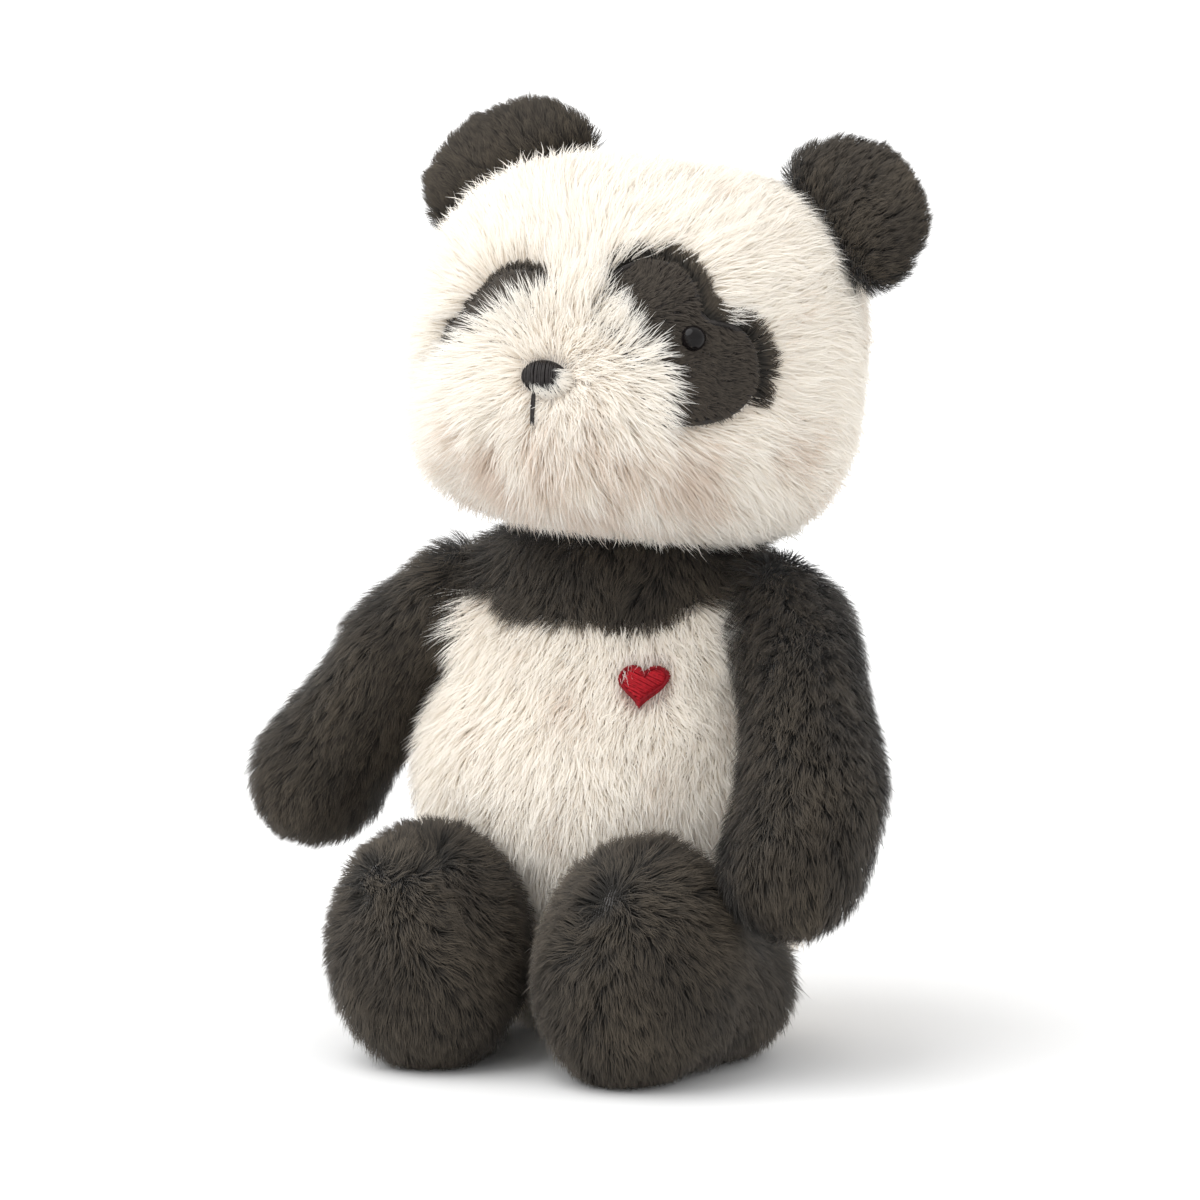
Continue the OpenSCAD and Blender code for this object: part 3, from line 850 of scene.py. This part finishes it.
def bared(side, flat, overlap=0.0):
    """Which points in a patch's plane the muzzle's pile leaves bare at its roots."""
    clear = np.zeros(len(flat), bool)
    for direction, start in FLANKS[side]:
        clear |= flat @ np.array(direction) < start + overlap
    return clear


def trimmed(side, outline):
    """A patch's outline, drawn back to a little under the muzzle's pile."""
    directions = np.array([direction for direction, _ in FLANKS[side]])
    starts = np.array([start for _, start in FLANKS[side]]) + FLANK_OVERLAP
    beyond = np.maximum(outline @ directions.T - starts, 0)
    nearest = np.argmin(beyond, axis=1)
    return outline - beyond[np.arange(len(outline)), nearest][:, None] * directions[nearest]


def shown_patch(side, points, spread=1.0):
    """Which points on the head lie where an eye patch shows."""
    flat, ahead = patch_lays[side].flat(points)
    inside = inside_outline(flat, patch_outlines[side] * spread) & (ahead > 20 * MM)
    return inside & bared(side, flat)


def head_keep(points):
    keep = np.linalg.norm(points - np.array(NECK), axis=1) > NECK_R + 2.5 * MM
    for side in SIDES:
        keep &= ~shown_patch(side, points, 1.03)
    flat, ahead = nose_lay.flat(points)
    keep &= ~(inside_outline(flat, nose_outline * 1.05) & (ahead > 20 * MM))
    flat, ahead = mouth_lay.flat(points)
    on_mouth = (np.abs(flat[:, 0]) < 1.1 * MM) & (np.abs(flat[:, 1]) < 4.4 * MM)
    keep &= ~(on_mouth & (ahead > 20 * MM))
    return keep


def ridge_share(points):
    """1 where the muzzle's pile stands up in front of the far patch."""
    flat, ahead = patch_lays["right"].flat(points)
    direction, start = FLANKS["right"][0]
    past = flat @ np.array(direction) - start
    near = smooth_step(past, -1 * MM, 1 * MM) * (1 - smooth_step(past, 14 * MM, 24 * MM))
    return near * (ahead > 20 * MM) * (np.abs(flat[:, 0]) < 34 * MM)


def head_comb(points, normals):
    """Pile that runs outwards from the nose, and down at the back and the sides."""
    radial = unit_rows(points - nose_at)
    back = smooth_step(points[:, 1], -20 * MM, 35 * MM)[:, None]
    down = np.array([0, 0.1, -1.0])
    direction = radial * (1 - 0.8 * back) + down * (0.25 + 0.75 * back)
    near = 1 - smooth_step(np.linalg.norm(points - nose_at, axis=1), 10 * MM, 34 * MM)[:, None]
    direction += sway(points, 26 * MM) * 0.35 + sway(points, 9 * MM) * (0.25 + 0.35 * near)
    return along_surface(direction, normals)


def head_length(points):
    """Short at the nose, longest over the cheeks and the flank of the patches."""
    away = np.linalg.norm(points - nose_at, axis=1)
    length = 4.5 * MM + 8.5 * MM * smooth_step(away, 6 * MM, 30 * MM)
    cheek = smooth_step(215 * MM - points[:, 2], 0, 45 * MM)
    chin = smooth_step(-points[:, 2], -160 * MM, -146 * MM)
    temple = smooth_step(points[:, 0], 28 * MM, 52 * MM)
    return length + 1.5 * MM * cheek - 3 * MM * np.maximum(chin, temple) + 3 * MM * ridge_share(points)


def head_lean(points):
    """The pile stands up on the cheeks and lies flat on the crown and under the chin."""
    crown = smooth_step(points[:, 2], 205 * MM, 235 * MM)
    chin = smooth_step(-points[:, 2], -164 * MM, -146 * MM)
    nose = 1 - smooth_step(np.linalg.norm(points - nose_at, axis=1), 6 * MM, 26 * MM)
    temple = smooth_step(points[:, 0], 28 * MM, 52 * MM)
    flat = np.maximum(np.maximum(crown, chin), temple)
    ridge = ridge_share(points)
    return (40 + 26 * flat + 8 * nose) * (1 - ridge) + 26 * ridge


def coat_panel(body, index, name, count, comb, length, material, slot, keep=None, **looks):
    """Pile over one sewn panel, which it stands for."""
    skin = skins[body]
    points, normals = skin.roots(skin.owner == index, count, keep)
    piece = grow(name, points, normals, comb(points, normals), length(points), material, body, slot, **looks)
    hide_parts(skin.panels[index])
    return piece


def chin_tint(points):
    """Warmer blotches low on the muzzle and the cheeks."""
    low = smooth_step(-points[:, 2], -184 * MM, -168 * MM) * smooth_step(points[:, 2], 142 * MM, 152 * MM)
    front = smooth_step(-points[:, 1], 5 * MM, 30 * MM)
    blotch = 0.55 + 0.45 * np.clip(sway(points, 9 * MM)[:, 2] + sway(points, 17 * MM)[:, 0], -1, 1)
    return 0.55 * low * front * blotch


for index, panel in enumerate(FORMS["head"][0]):
    coat_panel("head", index, panel.replace("panel", "pile"), HEAD_STRANDS, head_comb, head_length,
               cream_pile, "cream_fur", head_keep, lean=head_lean, tint=chin_tint, bend=34, **CREAM_PILE)


# ---- Pile of the torso ----

def torso_comb(points, normals):
    """Downwards, and over the shoulders outwards, on to the arms."""
    direction = np.array([0, 0, -1.0]) + unit_rows(points * np.array([1, 1, 0])) * 0.1
    shoulder = shoulder_share(points)[:, None]
    outward = np.sign(points[:, :1]) * np.array([1.0, 0, 0]) + np.array([0, 0, -0.3])
    direction = direction * (1 - shoulder) + outward * shoulder
    return along_surface(direction + sway(points, 24 * MM) * 0.3 + sway(points, 10 * MM) * 0.2, normals)


def shoulder_share(points):
    """1 over the sides of the yoke."""
    beside = smooth_step(np.abs(points[:, 0]), 26 * MM, 36 * MM)
    return beside * smooth_step(points[:, 2], 106 * MM, 116 * MM)


def yoke_lean(points):
    return 48 - 20 * shoulder_share(points)


def belly_keep(points):
    flat = points[:, [0, 2]] - np.array(HEART_AT)
    shape = heart_outline(60) * HEART_W
    above = np.zeros(len(points), bool)
    for rise in (0, 2, 4, 5.5):
        above |= inside_outline(flat - [0, rise * MM], shape)
    above &= points[:, 1] < 0
    under_seat = points[:, 2] < 1.5 * MM
    return ~in_yoke(points) & ~above & ~under_seat


def yoke_keep(points):
    return in_yoke(points) & (points[:, 2] < YOKE_TOP)


def torso_pile(name, front, keep, count, length, material, slot, panel, **looks):
    """Pile over the front or the back of the torso."""
    chosen = (torso_skin.middles[:, 1] < 0) == front
    points, normals = torso_skin.roots(chosen, count, keep)
    lengths = length + 7 * MM * shoulder_share(points)
    comb = torso_comb(points, normals)
    piece = grow(name, points, normals, comb, lengths, material, "torso", slot, **looks)
    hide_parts(panel)


for part, front in (("belly", True), ("back", False)):
    torso_pile(f"{part}_pile", front, belly_keep, BELLY_STRANDS, 10 * MM, cream_pile, "cream_fur",
               f"{part}_panel", lean=52, bend=32, **CREAM_PILE)
for part, front in (("yoke_front", True), ("yoke_back", False)):
    torso_pile(f"{part}_pile", front, yoke_keep, YOKE_STRANDS, 9 * MM, dark_pile, "dark_fur",
               f"{part}_panel", lean=yoke_lean)


# ---- Pile of the limbs and the ears ----

def middle_of(node):
    low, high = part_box(node)
    return (np.array(low) + np.array(high)) / 2


def arm_comb(side):
    start = middle_of(f"shoulder_stuffing_{side}")
    far = skins[f"arm_{side}"].points
    end = far[np.argmax(np.linalg.norm(far - start, axis=1))]
    axis = (end - start) / np.linalg.norm(end - start)

    def comb(points, normals):
        direction = axis + np.array([0, 0, -0.5]) + sway(points, 22 * MM) * 0.35
        direction += sway(points, 9 * MM) * 0.25
        return along_surface(direction, normals)
    return comb


def leg_whorl(side):
    """Where the pile of a foot starts, high on its front."""
    outer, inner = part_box(f"leg_outer_{side}"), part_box(f"leg_inner_{side}")
    near, far = (0, 1) if side == "left" else (1, 0)
    seam_x = (outer[near][0] + inner[far][0]) / 2
    return np.array([seam_x, inner[0][1] + 4 * MM, inner[1][2] * 0.74])


def leg_comb(side):
    whorl = leg_whorl(side)

    def comb(points, normals):
        distance = np.linalg.norm(points - whorl, axis=1)
        radial = unit_rows(points - whorl) * smooth_step(distance, 2 * MM, 26 * MM)[:, None]
        away = 0.35 + smooth_step(distance, 8 * MM, 45 * MM)[:, None]
        direction = radial + np.array([0, 0.1, -0.9]) * away
        direction += sway(points, 22 * MM) * 0.42 + sway(points, 9 * MM) * 0.3
        return along_surface(direction, normals)
    return comb


def ear_comb(side):
    """From the fold line to the rim: away from the middle of the head."""
    outward = middle_of(f"ear_stuffing_{side}") - np.array(head_middle)
    outward = outward / np.linalg.norm(outward)

    def comb(points, normals):
        spread = unit_rows(points - np.array(head_middle))
        return along_surface(outward * 0.4 + spread + sway(points, 14 * MM) * 0.5, normals)
    return comb


def even(length):
    return lambda points: np.full(len(points), length)


def gap_share(points):
    """1 at the inner end of an arm, next to the yoke."""
    inner = 1 - smooth_step(np.abs(points[:, 0]), 42 * MM, 52 * MM)
    return inner * smooth_step(points[:, 2], 108 * MM, 116 * MM)


def arm_length(points):
    return 9 * MM + 1.5 * MM * gap_share(points)


def arm_lean(points):
    return 48 - 4 * gap_share(points)


def coat_limb(kind, side, index, part, count, comb, length, **looks):
    coat_panel(f"{kind}_{side}", index, f"{kind}_{part}_{side}_pile", count, comb(side), length, dark_pile,
               "dark_fur", **looks)


for side in SIDES:
    for index, part in enumerate(("outer", "inner")):
        coat_limb("arm", side, index, part, ARM_STRANDS, arm_comb, arm_length, lean=arm_lean)
        coat_limb("leg", side, index, part, LEG_STRANDS, leg_comb, even(9 * MM))
    for index, part in enumerate(("front", "back")):
        coat_limb("ear", side, index, part, EAR_STRANDS, ear_comb, even(6.5 * MM), lean=42)


# ---- The face ----

def patch_piece(side):
    """Pad, short pile, stitched edge and dark fringe of an eye patch."""
    lay, outline = patch_lays[side], patch_outlines[side]
    rings = (1.0, 0.97, 0.9, 0.75, 0.5, 0.25)
    pad = padded_patch(f"eye_patch_{side}_pad", lay, trimmed(side, outline), rings, 0.9 * MM, 0.5 * MM,
                       dark_knit)
    if side == "right":
        pad.data.flip_normals()
    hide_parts(f"eye_patch_{side}")
    edge = edge_stitches(f"eye_patch_{side}_edge", lay, outline * 0.96, 2.0 * MM, 0.42 * MM,
                         1.7 * MM, 0.30 * MM, edge_thread, lambda flat: bared(side, flat, FLANK_OVERLAP))
    patch_cover(side, lay, outline)
    patch_fringe(side, lay, outline)
    fasten("head", "patch_plush", pad, edge)


def patch_cover(side, lay, outline):
    """The short, even pile inside the stitched edge, left open round the eye."""
    spots = rng.uniform(-0.6, 0.6, (PATCH_STRANDS, 2)) * PATCH_W
    spots = spots[inside_outline(spots, outline * 0.92) & bared(side, spots, FLANK_OVERLAP)]
    eye_place = FaceLay(skins["head"], EYE_AIM, side == "right").at(0, 0)[0]
    eye_flat, _ = lay.flat(np.array([eye_place[:]]))
    spots = spots[np.linalg.norm(spots - eye_flat[0], axis=1) > 2.3 * MM]
    points, normals = lay.many(spots, PATCH_LIFT)
    comb = along_surface(unit_rows(points - nose_at) + sway(points, 14 * MM) * 0.5 + [0, 0, -0.5], normals)
    grow(f"eye_patch_{side}_pile", points, normals, comb, np.full(len(points), 3.4 * MM), patch_pile, "head",
         "patch_plush", lean=58, bend=20, wave=0.2 * MM, width=0.26 * MM, clump=((0.10, 0.35),))


def patch_fringe(side, lay, outline):
    """Longer dark pile that stands round the upper edge of a patch."""
    count = FRINGE_STRANDS
    pick = rng.integers(0, len(outline), count)
    spread = rng.uniform(0.98, 1.06, count)[:, None]
    spots = outline[pick] * spread + rng.normal(0, 0.4 * MM, (count, 2))
    upper = spots @ np.array([0.45, 0.89]) > rng.uniform(4, 13, count) * MM
    spots = spots[upper & bared(side, spots)]
    points, normals = lay.many(spots, 0.4 * MM)
    centre, _ = lay.many(np.zeros((1, 2)), 0)
    comb = along_surface(unit_rows(points - centre) + sway(points, 9 * MM) * 0.5, normals)
    length = np.full(len(points), FRINGE_LENGTH[side])
    grow(f"eye_patch_{side}_fringe", points, normals, comb, length, dark_pile, "head",
         "patch_plush", lean=44, bend=40, wave=0.5 * MM, width=0.26 * MM, clump=((0.12, 0.6),))


def moved_eye():
    """The far eye, set in its drifted patch."""
    start = FaceLay(skins["head"], EYE_AIM, True).at(0, 0)[0]
    end = FaceLay(skins["head"], EYE_AIM + FAR_EYE_DRIFT, True).at(0, 0)[0]
    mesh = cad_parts["eye_right"].data.copy()
    mesh.name = "eye_right_dome"
    mesh.materials.clear()
    mesh.transform(Matrix.Translation(end - start))
    eye = new_object("eye_right_dome", mesh, eye_plastic)
    fasten("head", "eye_plastic", eye)
    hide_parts("eye_right")


moved_eye()
for side in SIDES:
    patch_piece(side)
    refinish(f"eye_{side}", eye_plastic)
    refinish(f"eye_washer_{side}", washer_plastic)

nose_pad = padded_patch("nose_pad", nose_lay, nose_outline, (1.0, 0.9, 0.7, 0.4, 0.15), 1.6 * MM, 0.6 * MM,
                        nose_thread)
nose_satin = satin_fill("nose_satin", nose_lay, nose_outline, 8, 0.50 * MM, 1.0 * MM, 2.9 * MM, 0.33 * MM,
                        nose_thread)
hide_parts("nose")
mouth_rows = np.stack([np.full(9, 0.0), np.linspace(-3.8, 4.6, 9) * MM], axis=1)
mouth_points, mouth_normals = mouth_lay.many(np.concatenate([mouth_rows, mouth_rows + [0.55 * MM, 0]]),
                                             3.0 * MM)
mouth = stitches("mouth_thread", mouth_points.reshape(2, 9, 3), mouth_normals.reshape(2, 9, 3), 0.42 * MM,
                 nose_thread)
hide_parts("mouth_stitch")


def nose_fringe():
    """A few cream hairs of the muzzle that fall across the edge of the nose."""
    count = NOSE_STRANDS
    angle = rng.uniform(math.radians(-110), math.radians(35), count)
    rim = np.stack([np.cos(angle) * NOSE_W / 2, np.sin(angle) * NOSE_H / 2], axis=1)
    spots = rim * rng.uniform(1.02, 1.30, count)[:, None]
    points, normals = nose_lay.many(spots, 0.3 * MM)
    ahead = unit_rows(nose_at + np.array([-1.5, 0, 2.5]) * MM - points)
    comb = along_surface(ahead + sway(points, 6 * MM) * 0.5, normals)
    length = np.full(count, 5.2 * MM)
    grow("nose_fringe", points, normals, comb, length, cream_pile, "head", "cream_fur", lean=30, bend=55,
         wave=0.3 * MM, width=0.20 * MM, clump=((0.15, 0.5),))


nose_fringe()
fasten("head", "nose_thread", nose_pad, nose_satin, mouth)


# ---- The chest heart ----

chest = ChestLay(torso_skin, HEART_AT)
small_heart = heart_outline(72) * HEART_W
heart_pad = padded_patch("chest_heart_pad", chest, small_heart, (1.0, 0.95, 0.8, 0.5, 0.2), 0.6 * MM,
                         HEART_LIFT, heart_thread)
heart_satin = satin_fill("chest_heart_satin", chest, small_heart * 0.92, 62, 0.42 * MM,
                         HEART_LIFT + 0.3 * MM, HEART_LIFT + 1.2 * MM, 0.27 * MM, heart_thread)
heart_edge = edge_stitches("chest_heart_edge", chest, small_heart * 0.97, 1.3 * MM, 0.36 * MM,
                           HEART_LIFT + 0.9 * MM, 0.22 * MM, heart_edge_thread)
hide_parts("chest_heart")
fasten("torso", "heart_thread", heart_pad, heart_satin, heart_edge)


# ---- What stays from the CAD model inside ----

refinish("neck_stuffing", filling)
refinish("pellet_pouch", cream_knit)
for side in SIDES:
    refinish(f"hip_stuffing_{side}", filling)


# ---- Floor, light and camera ----

def floor_disc():
    bm = bmesh.new()
    bmesh.ops.create_circle(bm, cap_ends=True, segments=96, radius=14)
    mesh = bpy.data.meshes.new("floor")
    bm.to_mesh(mesh)
    bm.free()
    material, tree, shader = new_material("floor_paper", 0.85, 0.0, 0.1)
    tones = ramp_node(tree, ((0.3, FLOOR_LOW), (0.7, FLOOR_HIGH)), noise_node(tree, 6))
    tree.links.new(tones, shader.inputs["Base Color"])
    floor = new_object("floor", mesh, material)


def soft_light(name, place, spread, strength):
    """Even light from a wide patch of sky, aimed from place at the origin."""
    data = bpy.data.lights.new(name, "SUN")
    data.angle = math.radians(spread)
    data.energy = strength
    light = new_object(name, data)
    light.location = place
    light.rotation_euler = (-Vector(place)).to_track_quat("-Z", "Y").to_euler()


def white_world(seen, lit):
    """A white surround: seen is its brightness to the camera and lit what it gives as light."""
    world = bpy.data.worlds.new("studio")
    bpy.context.scene.world = world
    world.use_nodes = True
    tree = world.node_tree
    background = tree.nodes["Background"]
    background.inputs["Color"].default_value = (1, 1, 1, 1)
    path = tree.nodes.new("ShaderNodeLightPath")
    level = tree.nodes.new("ShaderNodeMapRange")
    level.inputs["To Min"].default_value = lit
    level.inputs["To Max"].default_value = seen
    tree.links.new(path.outputs["Is Camera Ray"], level.inputs["Value"])
    tree.links.new(level.outputs["Result"], background.inputs["Strength"])


def photo_camera():
    data = bpy.data.cameras.new("camera")
    data.lens = 36 * CAMERA_DISTANCE / CAMERA_FIELD
    camera = new_object("camera", data)
    azimuth, elevation = math.radians(CAMERA_AZIMUTH), math.radians(CAMERA_ELEVATION)
    right = Vector((math.cos(azimuth), math.sin(azimuth), 0))
    target = right * CAMERA_SIDE + Vector((0, 0, CAMERA_HEIGHT))
    away = Vector((math.sin(azimuth) * math.cos(elevation), -math.cos(azimuth) * math.cos(elevation),
                   math.sin(elevation)))
    camera.location = target + away * CAMERA_DISTANCE
    camera.rotation_euler = (-away).to_track_quat("-Z", "Y").to_euler()
    bpy.context.scene.camera = camera


floor_disc()
soft_light("key", SUN_FROM, SUN_SPREAD, SUN_STRENGTH)
white_world(WORLD_SEEN, WORLD_LIT)
bpy.context.scene.view_settings.view_transform = "Standard"
photo_camera()
